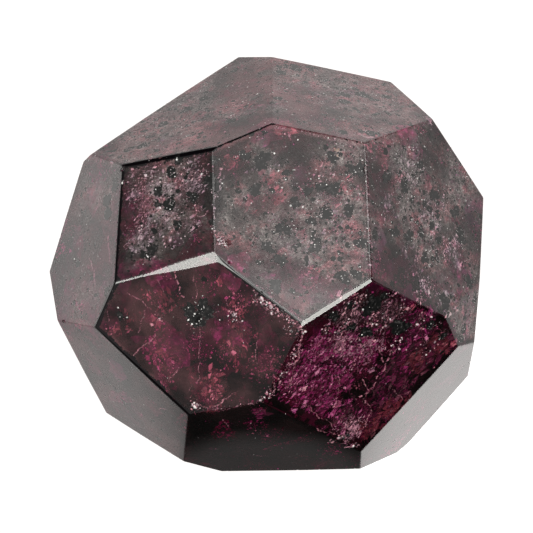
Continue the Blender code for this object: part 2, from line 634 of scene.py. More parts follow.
def named_places(outline, table):
    """The centres, outward normals and radii of a table of photo features."""
    rows = every(table)
    placed = [through_pixel(outline, row[:2], row[3]) for row in rows]
    centres, normals = (np.array(values) for values in zip(*placed))
    return centres, normals, np.array([row[2] for row in rows])


def tops(outline, table):
    """Where the features of a table reach the faces over them."""
    return traced(outline, [row[:2] for row in every(table)], 0.0)[0]


class Crowding:
    """How thickly the inclusions lie at a point: smooth patches, and the spots named below."""

    def __init__(self, outline):
        self.spots = [
            (through_pixel(outline, (x, y), 1.5)[0], reach, factor)
            for x, y, reach, factor in SPOTS.values()
        ]
        self.clear_faces = []
        for x, y, dust, milk in CLEAR_FACES.values():
            point, normal = through_pixel(outline, (x, y), 0.0)
            self.clear_faces.append((normal, normal @ point, dust, milk))
        # The bands of painted shade along some edges.
        self.rims = []
        for first, second, width in EDGE_SHADE_BANDS.values():
            placed = [through_pixel(outline, pixel, 0.0) for pixel in (first, second)]
            self.rims.append(([(normal, normal @ point) for point, normal in placed], width))

    def at(self, points):
        patches = 0.75 + 0.45 * ripple(points, 9.0, seed=21) + 0.3 * ripple(points, 3.5, seed=22)
        thickness = np.clip(patches, THINNEST, THICKEST)
        for centre, reach, factor in self.spots:
            near = np.exp(-((points - centre) ** 2).sum(axis=1) / (2 * reach**2))
            thickness *= 1 + (factor - 1) * near
        for normal, distance, dust, _ in self.clear_faces:
            under = distance - points @ normal
            thickness = np.where(under < CLEAR_REACH, thickness * max(dust, 0.1), thickness)
        return thickness


def points_on_faces(outline, count, rng):
    """Random points spread evenly over the faces, with the normals there."""
    areas = np.array([polygon_area(corners) for corners, _ in outline.polygons])
    chosen = rng.choice(len(areas), count, p=areas / areas.sum())
    points, normals = np.empty((count, 3)), np.empty((count, 3))
    for index, (corners, normal) in enumerate(outline.polygons):
        mine = np.flatnonzero(chosen == index)
        first, second, third = corners[0], corners[1:-1], corners[2:]
        fans = np.linalg.norm(np.cross(second - first, third - first), axis=1)
        fan = rng.choice(len(fans), len(mine), p=fans / fans.sum())
        a, b = rng.random(len(mine)), rng.random(len(mine))
        over = a + b > 1
        a[over], b[over] = 1 - a[over], 1 - b[over]
        points[mine] = first + a[:, None] * (second[fan] - first) + b[:, None] * (third[fan] - first)
        normals[mine] = normal
    return points, normals


def seats(outline, crowding, count, depth_mean, rng, evenness=0.0):
    """Random places inside the stone, mostly near its faces and thicker where it is crowded."""
    points, normals = points_on_faces(outline, count * 6, rng)
    depths = rng.exponential(depth_mean, len(points))
    points = points - normals * depths[:, None]
    weights = evenness + crowding.at(points)
    keep = rng.random(len(points)) < weights / weights.max() * 1.6
    points, normals = points[keep][:count], normals[keep][:count]
    return points, normals


def inside(outline, points, margins):
    return outline.polished(points) < -margins


def sink(outline, points, depth):
    """Moves points that stand out of the stone, or lie less deep than this, down to this depth."""
    over = np.maximum(outline.outside(points) + depth, 0.0)
    low = over > 0
    points[low] -= outline.slopes(points[low]) * over[low, None]
    return points


# --- shapes of the inclusions -------------------------------------------------------------------
FLUSH = 0.008  # mm that a grain cut by a face stands proud of it, so that it shows
LOWEST = 0.002 - HEART[2]  # no piece reaches the surface that the stone rests on


def ball(subdivisions):
    bm = bmesh.new()
    bmesh.ops.create_icosphere(bm, subdivisions=subdivisions, radius=1.0)
    bm.verts.index_update()
    points = np.array([v.co[:] for v in bm.verts])
    faces = np.array([[v.index for v in f.verts] for f in bm.faces])
    bm.free()
    return points, faces


def random_turns(count, rng):
    """Rotation matrices (count, 3, 3), evenly spread."""
    q = rng.normal(size=(count, 4))
    w, x, y, z = (q / np.linalg.norm(q, axis=1)[:, None]).T
    return np.array([
        [1 - 2 * (y * y + z * z), 2 * (x * y - z * w), 2 * (x * z + y * w)],
        [2 * (x * y + z * w), 1 - 2 * (x * x + z * z), 2 * (y * z - x * w)],
        [2 * (x * z - y * w), 2 * (y * z + x * w), 1 - 2 * (x * x + y * y)],
    ]).transpose(2, 0, 1)


def tangents(normals, rng):
    """Random unit vectors across each normal."""
    loose = rng.normal(size=normals.shape)
    across = loose - (loose * normals).sum(axis=1)[:, None] * normals
    return across / np.linalg.norm(across, axis=1)[:, None]


def varied(usual, spread, least, most, count, rng):
    """Random sizes about the usual one."""
    return np.clip(usual * np.exp(rng.normal(0, spread, count)), least, most)


def copies(shaped, turns, sizes, centres, faces):
    """A turned, scaled copy of a shape at each centre: points (n, 3) and triangles (m, 3)."""
    turned = np.einsum("cij,cpj->cpi", turns, shaped)
    placed = turned * np.asarray(sizes)[:, None, None] + centres[:, None, :]
    offsets = (np.arange(len(centres)) * shaped.shape[1])[:, None, None]
    return placed.reshape(-1, 3), (faces[None] + offsets).reshape(-1, 3)


def lumps(centres, radii, subdivisions, roughness, rng):
    """One rough, angular lump at each centre."""
    points, faces = ball(subdivisions)
    count = len(centres)
    stretch = rng.uniform(0.65, 1.25, (count, 1, 3))
    shaped = points[None] * stretch
    for octave in range(3):
        ways = rng.normal(size=(count, 3, 1)) * (1.4 + 1.6 * octave)
        swell = np.sin(points[None] @ ways + rng.uniform(0, 6.3, (count, 1, 1)))
        shaped = shaped * (1 + roughness / (1 + octave) * swell)
    shaped = shaped * (1 + rng.normal(0, 0.25 * roughness, (count, len(points), 1)))
    return copies(shaped, random_turns(count, rng), radii, centres, faces)


def flakes(centres, sizes, turns, rng):
    """One thin four-cornered flake at each centre."""
    count = len(centres)
    corners = np.array([[-1, -0.7, 0], [0.8, -1, 0], [1, 0.8, 0], [-0.7, 1, 0]], float)
    shaped = corners[None] * rng.uniform(0.45, 1.3, (count, 4, 1))
    shaped[:, :, 2] = rng.normal(0, 0.2, (count, 4))
    return copies(shaped, turns, sizes, centres, np.array([[0, 1, 2], [0, 2, 3]]))


def surface_flakes(centres, normals, sizes, rng):
    """Four-cornered flakes that lie in the faces."""
    across = tangents(normals, rng)
    along = np.cross(normals, across)
    turns = np.stack([across, along, normals], axis=2)
    points, faces = flakes(centres, sizes, turns, rng)
    off = ((points.reshape(-1, 4, 3) - centres[:, None, :]) * normals[:, None, :]).sum(axis=2)
    flat = points.reshape(-1, 4, 3) - off[:, :, None] * normals[:, None, :]
    return flat.reshape(-1, 3), faces


def disc_faces(rings, around):
    """Triangles over a middle point and the rings of points round it."""
    first = np.arange(around)
    after = (first + 1) % around
    faces = [np.stack([np.zeros(around, int), 1 + first, 1 + after], axis=1)]
    for ring in range(rings - 1):
        near, far = 1 + ring * around, 1 + (ring + 1) * around
        faces.append(np.stack([near + first, far + first, far + after], axis=1))
        faces.append(np.stack([near + first, far + after, near + after], axis=1))
    return np.vstack(faces)


def joined(parts):
    """Some meshes, each of points and triangles, as one."""
    starts = np.cumsum([0] + [len(points) for points, _ in parts[:-1]])
    faces = [triangles + start for (_, triangles), start in zip(parts, starts)]
    return np.vstack([points for points, _ in parts]), np.vstack(faces)


def piece(name, points, faces, material, tones=None, smooth=False):
    """One joined mesh. tones gives every triangle a value that its material can read."""
    used, faces = np.unique(faces, return_inverse=True)
    points, faces = points[used], faces.reshape(-1, 3)
    points[:, 2] = np.maximum(points[:, 2], LOWEST)
    mesh = bpy.data.meshes.new(name)
    mesh.vertices.add(len(points))
    mesh.vertices.foreach_set("co", metres(points).ravel())
    mesh.loops.add(len(faces) * 3)
    mesh.loops.foreach_set("vertex_index", np.asarray(faces, np.int32).ravel())
    mesh.polygons.add(len(faces))
    mesh.polygons.foreach_set("loop_start", np.arange(0, len(faces) * 3, 3, dtype=np.int32))
    mesh.update(calc_edges=True)
    mesh.validate()
    if tones is not None:
        layer = mesh.attributes.new("tone", "FLOAT", "FACE")
        layer.data.foreach_set("value", np.asarray(tones, np.float32))
    if smooth:
        mesh.shade_smooth()
    mesh.materials.append(material)
    made = add_object(name, mesh)
    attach(made, "root")


def flake_piece(name, centres, sizes, turns, material, rng):
    """One piece of flakes, each in a random tone."""
    points, faces = flakes(centres, sizes, turns, rng)
    piece(name, points, faces, material, np.repeat(rng.random(len(centres)), 2))


# --- what the photograph shows inside, by pixel -------------------------------------------------
# Where inclusions lie thickly or hardly at all: pixel x, pixel y, reach in mm, factor.
SPOTS = {
    "right_middle": (430, 215, 3.6, 2.4),
    "right_upper": (405, 160, 2.6, 1.7),
    "right_lower": (440, 270, 3.0, 2.2),
    "table_right": (345, 190, 2.6, 1.8),
    "table_middle": (300, 220, 3.0, 1.6),
    "table_low": (320, 275, 2.0, 1.4),
    "left_cluster": (165, 215, 2.6, 2.2),
    "left_upper": (150, 180, 2.2, 2.0),
    "back_left": (125, 150, 3.5, 1.5),
    "back_left_dusty": (190, 108, 4.0, 2.2),
    "back_right_dusty": (340, 100, 4.0, 2.4),
    "left_low_clear": (190, 250, 2.2, 0.4),
    "table_corner_clear": (245, 270, 1.6, 0.5),
}
# Faces that are polished into clear garnet: a pixel on the face, the share of the surface dust
# that is left just under it, and the milkiness there.
CLEAR_FACES = {
    "crown_left": (165, 215, 0.55, 0.85),
    "far_left": (85, 230, 0.5, 2.2),
    "crown_right": (425, 210, 0.75, 0.4),
    "back_left": (190, 110, 1.15, 6.5),
    "back_right": (340, 100, 1.1, 7.0),
    "front_left": (190, 350, 0.06, 2.8),
    "front_right": (380, 370, 0.02, 0.25),
    "front": (270, 440, 0.03, 0.5),
    "near_left": (130, 390, 0.3, 3.2),
    "near_right": (430, 420, 0.05, 0.3),
}
CLEAR_DEPTH = (0.12, 0.5)  # mm under such a face where it is clear, and where it ends
# Edges painted dark, a band of painted shade along each: a pixel on either of the two faces,
# and the width of the dark band in mm.
EDGE_SHADE_BANDS = {
    "left_top": ((165, 215), (175, 120), 0.27),
    "left_side": ((165, 215), (85, 230), 0.1),
    "front_left_side": ((190, 350), (85, 230), 0.22),
    "front_left_foot": ((190, 350), (130, 390), 0.25),
    "table_top_left": ((290, 200), (175, 120), 0.12),
    "table_foot": ((290, 200), (190, 350), 0.12),
}
# Black grains, face by face: pixel x, pixel y, radius in mm, depth in mm.
GRAINS = {
    "front_left": [
        (192, 314, 0.85, 1.0), (205, 310, 0.85, 1.1), (199, 322, 0.55, 1.0), (120, 316, 0.35, 0.5),
    ],
    "front_right": [
        (372, 306, 0.95, 1.2), (399, 327, 0.92, 1.2), (334, 316, 0.55, 0.9), (366, 332, 0.6, 1.4),
        (352, 327, 0.42, 0.9), (384, 296, 0.4, 0.8), (430, 325, 0.45, 1.2), (350, 305, 0.35, 0.9),
        (443, 336, 0.35, 1.0),
    ],
    "table": [
        (262, 161, 0.78, 0.7), (244, 155, 0.5, 0.8), (255, 190, 0.58, 0.9), (332, 157, 0.5, 0.8),
        (358, 170, 0.7, 0.9), (321, 187, 0.5, 0.7), (333, 189, 0.6, 0.8), (308, 191, 0.42, 0.9),
        (286, 173, 0.34, 0.6), (295, 203, 0.5, 1.1), (311, 221, 0.45, 0.7), (283, 229, 0.62, 1.0),
        (316, 246, 0.58, 0.9), (267, 247, 0.46, 1.0), (281, 260, 0.55, 1.0), (357, 275, 0.5, 1.0),
        (361, 243, 0.55, 0.9), (349, 210, 0.5, 0.8), (276, 286, 0.6, 1.1), (343, 277, 0.6, 1.1),
    ],
    "table_left_edge": [(212, 182, 0.74, 0.7)],
    "left": [
        (193, 197, 0.5, 0.4), (158, 192, 0.45, 0.7), (152, 250, 0.55, 0.8), (144, 255, 0.42, 0.8),
        (178, 160, 0.4, 0.5), (214, 160, 0.4, 0.6), (158, 205, 0.3, 0.6), (178, 224, 0.4, 0.7),
        (212, 222, 0.32, 0.6),
    ],
    "right": [
        (404, 187, 0.55, 0.8), (386, 178, 0.5, 0.9), (434, 195, 0.6, 0.9), (395, 232, 0.55, 0.7),
        (408, 236, 0.5, 0.9), (455, 212, 0.6, 0.9), (445, 302, 0.7, 1.2), (469, 282, 0.55, 0.8),
        (462, 240, 0.5, 1.0), (424, 258, 0.5, 1.1), (375, 235, 0.45, 0.8), (420, 165, 0.4, 0.9),
    ],
    "back_left": [(115, 185, 0.6, 1.3), (108, 200, 0.5, 1.4)],
}
# Soft pink patches, face by face: pixel x, pixel y, radius in mm, depth in mm.
PINK_CLOUDS = {
    "table": [
        (283, 123, 0.7, 0.5), (287, 134, 0.6, 0.6), (231, 162, 0.9, 0.5), (266, 187, 1.0, 0.7),
        (277, 195, 0.7, 0.7), (322, 201, 0.8, 0.6), (363, 193, 0.5, 0.4), (335, 226, 0.8, 0.8),
        (309, 278, 1.4, 1.0), (341, 236, 1.0, 1.0),
    ],
    "right": [
        (420, 128, 0.8, 0.6), (380, 150, 1.0, 0.7), (411, 307, 0.7, 0.4), (455, 320, 0.9, 0.5),
    ],
    "front_right_corner": [(452, 345, 0.7, 0.6)],
    "front_left": [
        (212, 395, 1.4, 0.8), (228, 350, 1.6, 1.2), (172, 360, 0.8, 0.8), (111, 330, 0.6, 0.5),
        (158, 298, 0.9, 0.8), (236, 300, 1.2, 1.0), (265, 370, 1.6, 1.0),
    ],
    "front_right": [
        (310, 385, 1.2, 0.9), (325, 350, 1.2, 1.2), (360, 370, 1.4, 1.2), (300, 397, 0.9, 0.7),
        (430, 350, 1.4, 1.6), (385, 345, 1.3, 1.2),
    ],
    "left": [
        (180, 215, 0.8, 0.6), (165, 235, 0.7, 0.6), (196, 238, 0.7, 0.8), (150, 170, 0.9, 0.7),
    ],
    "front": [(258, 411, 0.9, 0.5)],
    "back_right": [(330, 120, 1.2, 0.7)],
}
# Crumbly patches, black and white, on and just under a face: pixel x, pixel y, radius in mm,
# number of crumbs.
CRUMBS = {
    "front_left_corner": [(194, 406, 0.5, 60)],
    "chip_rim": [(221, 241, 0.45, 45)],
    "ridge": [
        (295, 353, 0.4, 45), (291, 330, 0.55, 60), (268, 393, 0.6, 60), (263, 400, 0.4, 40),
        (282, 375, 0.4, 30),
    ],
    "front_right_foot": [(344, 438, 0.4, 40), (356, 445, 0.3, 30)],
    "table_foot": [
        (258, 297, 0.5, 50), (265, 303, 0.5, 60), (273, 309, 0.5, 60), (283, 314, 0.5, 60),
        (292, 320, 0.5, 50), (300, 330, 0.4, 30),
    ],
    "front_right": [
        (347, 322, 0.6, 60), (360, 299, 0.7, 70), (340, 332, 0.7, 50), (385, 320, 0.9, 90),
        (402, 310, 0.9, 80), (420, 322, 0.9, 70), (372, 322, 0.8, 70), (326, 330, 0.6, 50),
        (395, 345, 1.0, 50), (360, 345, 1.0, 50), (340, 375, 1.6, 60), (425, 350, 1.4, 50),
    ],
    "front_left": [(159, 317, 0.5, 40), (233, 317, 0.7, 60), (196, 327, 0.4, 25)],
    "left": [
        (150, 178, 0.9, 45), (165, 205, 1.1, 55), (176, 228, 1.1, 55), (205, 172, 0.6, 40),
        (140, 230, 0.9, 40), (190, 163, 0.9, 35), (150, 255, 0.6, 40),
    ],
}
# Broken zones, filled with small plates: kind of plate, reach in mm, number of plates, their size
# in mm, the way that they are drawn out (degrees, in the photograph), the darkest and the palest
# tone among them, and the photo pixels of the zones that are like this.
BROKEN_ZONES = {
    "right_top": ("grey", 1.5, 1350, 0.06, 62, 0.0, 1.0, [(350, 315), (385, 314)]),
    "right_corner": ("garnet", 1.4, 1050, 0.066, 45, 0.0, 0.86, [(420, 326)]),
    "right_magenta": ("garnet", 2.0, 420, 0.08, 62, 0.1, 0.85, [(372, 328)]),
    "right_left": ("garnet", 1.7, 1580, 0.066, 62, 0.1, 1.0, [(318, 352), (298, 380)]),
    "right_middle": ("garnet", 1.95, 1780, 0.066, 62, 0.1, 0.97, [(352, 350), (330, 385)]),
    "right_low": ("garnet", 1.4, 970, 0.066, 62, 0.0, 0.88, [(345, 416)]),
    "right_lilac": ("grey", 1.4, 520, 0.05, 60, 0.5, 1.0, [(366, 350), (340, 344), (352, 426)]),
    "right_pink_foot": ("garnet", 1.0, 240, 0.06, 40, 0.25, 0.88, [(305, 402), (322, 408)]),
    "right_far": ("garnet", 1.8, 600, 0.09, 60, 0.0, 0.76, [(400, 358), (386, 392)]),
    "right_deep": (
        "garnet", 1.2, 150, 0.12, 45, 0.36, 0.5, [(425, 362), (405, 385), (380, 412), (440, 345)]
    ),
    "right_crimson": (
        "rose", 1.2, 240, 0.1, 45, 0.4, 0.62, [(416, 362), (442, 345), (392, 408), (372, 428)]
    ),
    "right_dark": ("grey", 0.9, 140, 0.07, 60, 0.0, 0.65, [(334, 318), (366, 300)]),
    "right_salmon": ("rose", 0.34, 90, 0.06, 45, 0.6, 0.92, [(411, 309), (453, 345)]),
    "left_top": ("grey", 1.8, 1900, 0.048, 40, 0.2, 1.0, [(148, 185), (185, 180)]),
    "left_middle": ("grey", 2.2, 3000, 0.048, 40, 0.22, 1.0, [(163, 212)]),
    "left_low": ("grey", 1.1, 1100, 0.05, 30, 0.2, 1.0, [(140, 240)]),
    "left_right": ("grey", 1.1, 160, 0.08, 40, 0.0, 0.9, [(190, 222)]),
    "left_black": (
        "grey", 1.15, 300, 0.08, 40, 0.0, 0.52, [(143, 178), (168, 226), (175, 165), (186, 208)]
    ),
    "front_left": ("rose", 1.7, 150, 0.075, 85, 0.25, 0.84, [(160, 305), (236, 306), (240, 350)]),
    "front_left_side": ("rose", 1.4, 85, 0.075, 55, 0.25, 0.8, [(128, 330), (172, 360)]),
    "front_left_low": ("rose", 1.7, 280, 0.075, 60, 0.22, 0.93, [(215, 385)]),
    "side_white": (
        "grey", 1.5, 210, 0.034, 60, 0.82, 1.0, [(437, 214), (452, 250), (425, 285), (405, 170)]
    ),
    "side_black": (
        "grey", 1.2, 205, 0.09, 60, 0.0, 0.5,
        [(400, 200), (448, 222), (410, 238), (468, 235), (436, 150), (432, 262)],
    ),
    "side_mixed": (
        "grey", 1.65, 300, 0.07, 60, 0.0, 1.0,
        [(410, 160), (390, 200), (430, 215), (455, 250), (415, 262), (450, 300)],
    ),
    "side_pink": ("rose", 0.6, 60, 0.07, 110, 0.5, 0.88, [(370, 146), (386, 168), (463, 312)]),
    "table_mixed": (
        "grey", 1.3, 220, 0.06, 50, 0.0, 0.92,
        [(262, 163), (335, 160), (322, 190), (350, 212), (288, 225), (312, 245), (330, 278)],
    ),
    "table_black": (
        "grey", 0.95, 125, 0.08, 40, 0.0, 0.5,
        [(320, 186), (280, 228), (345, 170), (350, 205), (345, 272), (250, 215)],
    ),
    "table_pink": (
        "rose", 0.95, 80, 0.08, 55, 0.45, 0.78,
        [(284, 124), (232, 160), (275, 195), (330, 205), (268, 178), (250, 206), (300, 240),
         (312, 262), (345, 190)],
    ),
    "table_gold": ("gold", 0.5, 60, 0.05, 60, 0.3, 1.0, [(340, 152)]),
    "back_mixed": (
        "grey", 1.9, 190, 0.07, 10, 0.0, 0.88,
        [(125, 160), (175, 125), (225, 98), (310, 88), (365, 100)],
    ),
    "back_black": (
        "grey", 1.6, 220, 0.09, 15, 0.0, 0.5, [(115, 162), (122, 150), (160, 134), (200, 128)]
    ),
    "back_pink": ("rose", 1.2, 90, 0.075, 12, 0.45, 0.78, [(218, 122), (150, 128), (250, 105)]),
    "back_oval": ("rose", 0.3, 110, 0.07, -10, 0.62, 0.9, [(367, 134)]),
    "front_top": ("garnet", 0.9, 110, 0.12, 10, 0.3, 0.72, [(262, 414)]),
}
# Ragged seams under the edges, the pale ones crumbled garnet and the black ones painted shade along
# the edges: darkest and palest tone, width in mm, plates per mm, and the photo pixels that the seam
# passes.
SEAMS = {
    "left_top": (0.0, 0.42, 0.13, 34, [(126, 166), (150, 162), (176, 157), (206, 151), (226, 140)]),
    "table_top_left": (0.0, 0.7, 0.1, 18, [(226, 140), (248, 130), (262, 124)]),
    "left_side": (0.0, 0.5, 0.08, 22, [(123, 172), (121, 205), (118, 240), (115, 276)]),
    "front_left_side": (0.0, 0.5, 0.11, 24, [(115, 282), (110, 296), (102, 312), (97, 324)]),
    "front_left_corner": (0.0, 0.6, 0.16, 26, [(118, 281), (112, 294), (108, 304)]),
    "table_left": (0.55, 0.95, 0.06, 14, [(222, 166), (216, 184), (214, 206), (214, 232)]),
    "table_left_patch": (0.55, 1.0, 0.14, 30, [(222, 178), (217, 190), (216, 198)]),
    "table_right": (0.5, 0.9, 0.06, 10, [(367, 160), (368, 200), (370, 240), (371, 270)]),
    "table_top_right": (0.4, 0.9, 0.09, 12, [(300, 130), (330, 138), (352, 145), (366, 152)]),
    "table_peak": (0.5, 0.85, 0.2, 22, [(272, 124), (282, 130), (290, 135)]),
    "table_foot": (0.0, 1.0, 0.3, 130, [(256, 292), (266, 302), (280, 312), (294, 320), (303, 328)]),
    "ridge": (0.2, 1.0, 0.2, 45, [(303, 332), (297, 350), (288, 372), (278, 386), (266, 400)]),
    "front_top": (0.1, 0.9, 0.12, 22, [(196, 408), (222, 410), (246, 405), (264, 402)]),
    "right_top": (0.0, 0.6, 0.16, 26, [(312, 326), (330, 314), (350, 302), (368, 292), (384, 298)]),
    "right_side": (0.1, 0.7, 0.14, 22, [(392, 304), (414, 314), (436, 322), (450, 334)]),
    "right_foot": (0.0, 0.9, 0.18, 26, [(338, 432), (350, 440), (358, 448)]),
    "oval_top": (0.84, 1.0, 0.02, 60, [(359, 134), (362, 130), (368, 131), (375, 134)]),
    "oval_foot": (0.84, 1.0, 0.02, 60, [(375, 134), (372, 137), (366, 137), (359, 134)]),
    "back_corner_dark": (0.0, 0.4, 0.05, 80, [(411, 111), (417, 114), (423, 118)]),
    "back_corner_pale": (0.7, 0.95, 0.12, 90, [(426, 117), (431, 122)]),
    "side_line": (0.0, 0.3, 0.02, 50, [(460, 305), (467, 294), (475, 283)]),
}
# The smooth grey slab under the table face, its outline in photo pixels and its depth in mm.
SLAB = [(274, 292), (283, 290), (297, 296), (309, 304), (306, 311), (297, 311)]
SLAB_DEPTH = 0.2
# Chips that the photograph shows in the edges: pixel x, pixel y, radius in mm.
CHIPS = {
    "left_of_table_face": (220, 240, 0.34),
    "left_of_table_face_low": (226, 244, 0.26),
    "edge_flat": (229, 262, 0.16),
    "back_rim": (309, 76, 0.24),
}
# Fine cracks that reach a face: the photo pixels that each one passes.
HAIRLINES = {
    "under_grain": [(198, 326), (200, 346), (201, 363), (200, 379), (190, 391)],
    "over_grain": [(194, 275), (196, 286), (196, 299)],
    "upper_left": [(157, 279), (164, 292)],
    "grain_left": [(184, 298), (178, 285), (174, 272)],
    "long_left": [(132, 357), (145, 344), (158, 332)],
    "low_left": [(168, 381), (174, 373), (178, 367)],
    "cloud_border": [(194, 402), (203, 407), (213, 406), (224, 398), (235, 392)],
    "ridge_white": [(268, 398), (272, 388), (279, 376), (290, 367), (298, 361), (296, 350)],
    "ridge_dark": [(303, 328), (301, 342), (300, 357), (292, 378), (286, 391)],
    "middle": [(257, 340), (256, 352), (258, 364)],
    "right_white": [(340, 380), (338, 396), (333, 408)],
    "right_curve": [(364, 398), (372, 410), (367, 420), (363, 430)],
    "right_streak": [(392, 389), (397, 394), (403, 400)],
    "upper_streak": [(338, 346), (332, 354), (326, 360)],
    "right_web_a": [(369, 391), (379, 384), (386, 374), (387, 366)],
    "right_web_b": [(341, 411), (351, 408), (363, 400), (369, 391), (362, 379)],
    "right_web_c": [(351, 420), (346, 428), (344, 438)],
    "right_web_d": [(320, 343), (324, 333)],
    "right_web_e": [(303, 410), (309, 405)],
    "right_web_f": [(372, 340), (380, 352), (384, 362)],
    "right_foot": [(318, 428), (331, 432), (345, 439), (357, 444)],
    "chip_a": [(216, 234), (221, 239), (227, 246)],
    "chip_b": [(219, 232), (220, 238), (218, 244)],
    "right_long": [(392, 350), (385, 370), (372, 388), (356, 400)],
    "low_long": [(296, 402), (312, 411), (328, 421), (344, 432)],
    "table_scratch": [(348, 180), (353, 176), (358, 172)],
    "left_web": [(192, 214), (199, 216), (205, 214), (208, 210)],
}
# Where there are no fracture planes: a photo pixel on the face, and how deep under it, in mm.
UNBROKEN = (270, 440)
UNBROKEN_DEPTH = 5.0

# --- the inclusions -----------------------------------------------------------------------------
# How many are strewn through the stone besides those that the photograph shows.
LOOSE = {
    "grains": 1500,
    "speck_swarms": 230,
    "sparkles_cut_by_faces": 3200,
    "clouds": 160,
    "hairlines": 90,
    "healed_cracks": 45,
    "fractures": 560,
}
# Sizes in mm: the usual one, how widely they vary, the least and the most.
SIZES = {
    "grains": (0.2, 0.5, 0.07, 0.7),
    "specks": (0.075, 0.45, 0.03, 0.22),
    "sparkles": (0.034, 0.45, 0.015, 0.11),
    "sparkles_cut_by_faces": (0.03, 0.5, 0.014, 0.1),
    "dust": (0.06, 0.4, 0.025, 0.2),
    "crumbs": (0.062, 0.5, 0.025, 0.2),
    "seams": (0.07, 0.45, 0.03, 0.22),
    "healed": (0.07, 0.5, 0.03, 0.22),
}
PLATE_SIZES = (0.5, 0.03, 0.24)  # the last three of these, for the plates of the broken zones
PLATE_DEPTH = {"rose": 0.16, "gold": 0.1, "grey": 0.14, "garnet": 0.26}  # mean, in mm
PLATES_PER_CLUMP = 12
JUST_UNDER = 0.006  # mm, the least depth of a plate
CLOUD_GRAINS = 90  # in a cloud of 1 mm radius
HAIRLINE = 0.055  # mm wide
NAMED_HAIRLINE = 0.1
HAIRLINE_DROP = 0.2  # mm deep


def add_black_grains(outline, crowding):
    """Returns the centres, normals and radii of all grains, for the sparkles round them."""
    rng = np.random.default_rng(SEEDS["grains"])
    named, named_normals, named_radii = named_places(outline, GRAINS)
    material = grain_material()
    points, faces = lumps(named, named_radii * 0.9, 3, 0.2, rng)
    lying_in = inside(outline, points, 0.01)
    piece("black_grains_large", points, faces[lying_in[faces].all(axis=1)], material)
    cut_grains = caps(outline, tops(outline, GRAINS), named_normals, named_radii, rng)
    piece("grains_cut_by_faces", *cut_grains, material)
    centres, normals = seats(outline, crowding, LOOSE["grains"], 1.6, rng)
    radii = varied(*SIZES["grains"], len(centres), rng)
    keep = inside(outline, centres, radii * 1.25 + 0.05)
    centres, normals, radii = centres[keep], normals[keep], radii[keep]
    piece("black_grains", *lumps(centres, radii, 1, 0.28, rng), material)
    add_black_specks(outline, crowding, named_normals, named_radii, material)
    return (
        np.vstack([named, centres]),
        np.vstack([named_normals, normals]),
        np.append(named_radii, radii),
    )


def add_black_specks(outline, crowding, normals, radii, material):
    """Swarms of fine black specks, round the named grains and between them."""
    rng = np.random.default_rng(SEEDS["specks"])
    count = LOOSE["speck_swarms"]
    loose, loose_normals = seats(outline, crowding, count, 0.3, rng, evenness=0.15)
    middles = np.vstack([tops(outline, GRAINS), loose])
    middle_normals = np.vstack([normals, loose_normals])
    reaches = np.append(radii * 1.1 + 0.15, rng.uniform(0.3, 0.9, len(loose)))
    of_swarm = np.repeat(np.arange(len(middles)), rng.poisson(6 + 12 * reaches))
    off = rng.normal(size=(len(of_swarm), 3)) * reaches[of_swarm, None] * 0.75
    deep = rng.exponential(0.12, (len(of_swarm), 1)) + 0.01
    off -= (off * middle_normals[of_swarm]).sum(axis=1)[:, None] * middle_normals[of_swarm]
    places = middles[of_swarm] + off - middle_normals[of_swarm] * deep
    sizes = varied(*SIZES["specks"], len(places), rng)
    points, faces = lumps(places, sizes, 1, 0.3, rng)
    piece("black_specks", sink(outline, points, 0.002), faces, material)


def caps(outline, centres, normals, radii, rng):
    """Ragged round patches flush with the polished faces."""
    around, rings = 36, 3
    turn = np.linspace(0, 2 * math.pi, around, endpoint=False)
    faces = disc_faces(rings, around)
    parts = []
    for centre, normal, radius in zip(centres, normals, radii):
        across = tangents(normal[None, :], rng)[0]
        along = np.cross(normal, across)
        rim = 1 + rng.normal(0, 0.12, around)
        for waves, depth in ((2, 0.18), (3, 0.14), (5, 0.1), (9, 0.1)):
            rim += depth * np.sin(waves * turn + rng.uniform(0, 2 * math.pi))
        x, y = radius * rim * np.cos(turn), radius * rim * np.sin(turn)
        edge = x[:, None] * across + y[:, None] * along
        made = [centre[None, :]] + [centre + edge * k / rings for k in range(1, rings + 1)]
        parts.append((np.vstack(made), faces))
    points, faces = joined(parts)
    points = outline.project(points)
    return points + outline.slopes(points) * FLUSH, faces


def add_sparkles(outline, crowding, grains):
    """Bright specks, thickest round the black grains, some of them cut by the polished faces."""
    rng = np.random.default_rng(SEEDS["sparkles"])
    centres, normals, radii = grains
    counts = rng.poisson(0.6 + 9 * radii)
    of_grain = np.repeat(np.arange(len(centres)), counts)
    spread = radii[of_grain] * rng.uniform(0.4, 1.9, len(of_grain))
    points = centres[of_grain] + tangents(normals[of_grain], rng) * spread[:, None]
    points += normals[of_grain] * (radii[of_grain] * rng.uniform(0.2, 1.1, len(of_grain)))[:, None]
    sizes = varied(*SIZES["sparkles"], len(points), rng)
    keep = inside(outline, points, sizes + 0.02)
    points, sizes = points[keep], sizes[keep]
    material = flake_material("sparkle", SPARKLE_TONES)
    flake_piece("sparkles", points, sizes, random_turns(len(points), rng), material, rng)

    named = tops(outline, GRAINS)
    named_normals, named_radii = normals[: len(named)], radii[: len(named)]
    of_grain = np.repeat(np.arange(len(named)), rng.poisson(1 + 9 * named_radii))
    spread = named_radii[of_grain] * rng.uniform(0.2, 2.2, len(of_grain))
    near = named[of_grain] + tangents(named_normals[of_grain], rng) * spread[:, None]
    loose, _ = seats(outline, crowding, LOOSE["sparkles_cut_by_faces"], 1e-6, rng)
    points = outline.project(np.vstack([near, loose]))
    slopes = outline.slopes(points)
    sizes = varied(*SIZES["sparkles_cut_by_faces"], len(points), rng)
    made, faces = surface_flakes(points + slopes * FLUSH * 1.5, slopes, sizes, rng)
    tones = np.repeat(rng.random(len(points)), 2)
    piece("sparkles_cut_by_faces", made, faces, material, tones)


